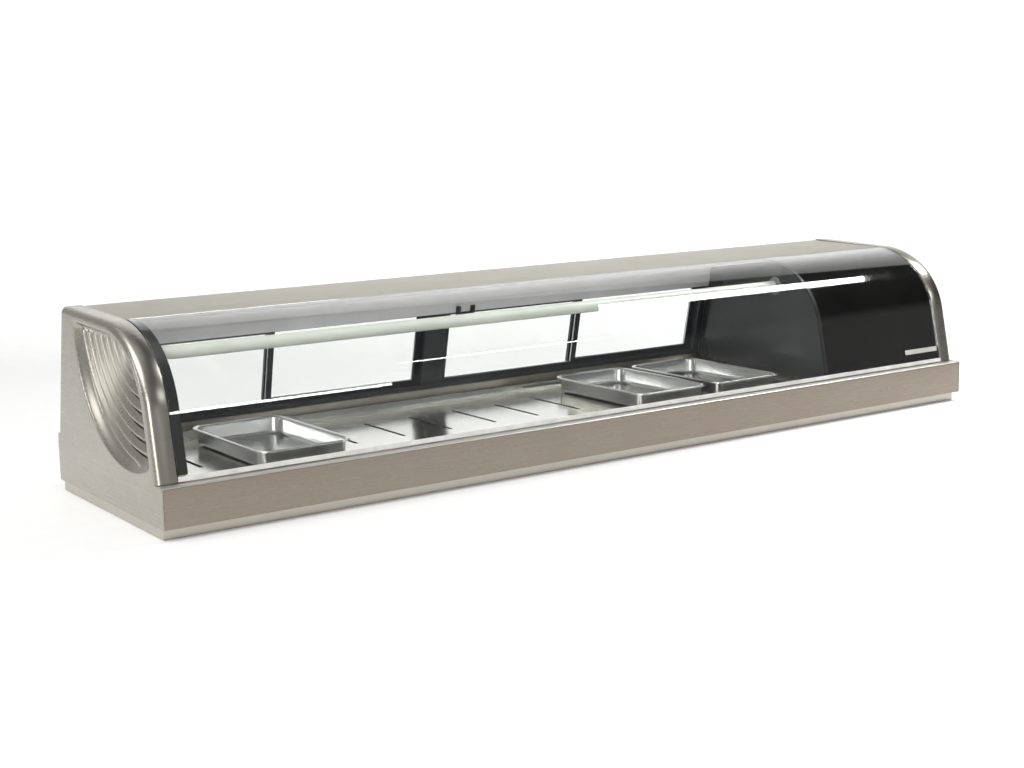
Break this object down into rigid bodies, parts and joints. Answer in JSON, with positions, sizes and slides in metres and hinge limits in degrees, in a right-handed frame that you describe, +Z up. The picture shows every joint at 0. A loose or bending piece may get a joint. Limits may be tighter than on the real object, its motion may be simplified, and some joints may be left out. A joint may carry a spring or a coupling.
{
  "type": "refrigerated deli case",
  "caption": "Countertop refrigerated display case with curved front glass, chilled tray deck, sliding rear doors and an end machine room.",
  "frame": {"origin": "middle of the plinth's footprint, on the surface the case stands on, at the centre of the overall box", "axes": "+X along the case towards the machine room, -Y towards the customer and the curved glass, +Z up"},
  "size_m": [1.5, 0.371, 0.2697],
  "materials": {
    "brushed_stainless": "warm brushed stainless sheet, satin, brushed along each fold",
    "polished_stainless": "bright polished stainless",
    "galvanised_steel": "zinc-coated sheet with faint spangle",
    "evaporator_aluminium": "mill-finish aluminium",
    "copper_tube": "drawn copper, slightly tarnished",
    "clear_glass": "clear bent float glass with polished edges",
    "door_acrylic": "clear acrylic sheet",
    "black_gloss": "high-gloss black enamel on sheet steel",
    "black_plastic": "satin black moulded and extruded plastic",
    "black_seal": "matt black rubber",
    "grey_seal": "soft grey glazing profile",
    "pale_liner": "pale lilac-grey coated sheet, low sheen",
    "coated_pipe": "pale green-white coated tube with a light bloom",
    "insulation_foam": "rigid cream insulation foam with a dull skin",
    "black_paint": "black enamel",
    "white_plastic": "white moulded plastic"
  },
  "bodies": {
    "case": {"front_apron": "brushed_stainless", "plinth_frame": "brushed_stainless", "base_pan": "galvanised_steel", "insulation_tub": "insulation_foam", "inner_tank": "polished_stainless", "drain_spout": "white_plastic", "rear_base_panel": "brushed_stainless", "end_panel_left": "brushed_stainless", "end_panel_right": "brushed_stainless", "side_liner": "pale_liner", "side_insulation": "insulation_foam", "top_cover": "brushed_stainless", "ceiling_panel": "pale_liner", "header_insulation": "insulation_foam", "front_glass": "clear_glass", "glass_channel": "grey_seal", "glass_seal_left": "black_seal", "glass_seal_top": "black_seal", "machine_cover": "black_gloss", "name_plate": "polished_stainless", "partition_wall": "black_paint", "partition_seal": "grey_seal", "cooling_pipe": "coated_pipe", "door_stop_bracket": "black_plastic", "cold_plate": "evaporator_aluminium", "cold_plate_tube": "copper_tube", "display_deck": "polished_stainless", "lower_track": "black_plastic", "upper_track": "black_plastic", "centre_mullion": "black_plastic", "jamb_left": "black_plastic", "jamb_right": "black_plastic", "service_panel": "brushed_stainless", "control_box": "white_plastic", "cable_gland": "black_plastic", "compressor": "black_paint", "compressor_base": "galvanised_steel", "condenser_coil": "evaporator_aluminium", "fan_shroud": "galvanised_steel", "fan_motor": "black_paint", "motor_bracket": "galvanised_steel", "filter_drier": "copper_tube", "suction_line": "copper_tube", "riser_line": "copper_tube", "liquid_line": "copper_tube", "discharge_line": "copper_tube"},
    "door_1": {"door_frame_1": "black_plastic", "door_pane_1": "door_acrylic"},
    "door_2": {"door_frame_2": "black_plastic", "door_pane_2": "door_acrylic"},
    "door_3": {"door_frame_3": "black_plastic", "door_pane_3": "door_acrylic"},
    "door_4": {"door_frame_4": "black_plastic", "door_pane_4": "door_acrylic"},
    "tray_1": {"food_tray_1": "polished_stainless"},
    "tray_2": {"food_tray_2": "polished_stainless"},
    "tray_3": {"food_tray_3": "polished_stainless"},
    "fan": {"fan_blades": "black_plastic"},
    "knob": {"thermostat_knob": "black_plastic"},
    "switch": {"power_switch": "black_plastic"}
  },
  "joints": [
    {"name": "door_1_slide", "type": "slide", "parent": "case", "child": "door_1", "axis": [1, 0, 0], "range_m": [0, 0.25]},
    {"name": "door_2_slide", "type": "slide", "parent": "case", "child": "door_2", "axis": [1, 0, 0], "range_m": [-0.25, 0]},
    {"name": "door_3_slide", "type": "slide", "parent": "case", "child": "door_3", "axis": [1, 0, 0], "range_m": [0, 0.25]},
    {"name": "door_4_slide", "type": "slide", "parent": "case", "child": "door_4", "axis": [1, 0, 0], "range_m": [-0.25, 0]},
    {"name": "tray_1_lift", "type": "slide", "parent": "case", "child": "tray_1", "axis": [0, 0, 1], "range_m": [0, 0.08]},
    {"name": "tray_2_lift", "type": "slide", "parent": "case", "child": "tray_2", "axis": [0, 0, 1], "range_m": [0, 0.08]},
    {"name": "tray_3_lift", "type": "slide", "parent": "case", "child": "tray_3", "axis": [0, 0, 1], "range_m": [0, 0.08]},
    {"name": "fan_spin", "type": "hinge", "parent": "case", "child": "fan", "pos_m": [0.655, 0, 0.087], "axis": [1, 0, 0], "continuous": true},
    {"name": "knob_turn", "type": "hinge", "parent": "case", "child": "knob", "pos_m": [0.68, 0.1608, 0.1896], "axis": [0, 0.9777, 0.2101], "range_deg": [0, 270]},
    {"name": "switch_rock", "type": "hinge", "parent": "case", "child": "switch", "pos_m": [0.64, 0.1593, 0.1893], "axis": [1, 0, 0], "range_deg": [-12, 0]}
  ]
}
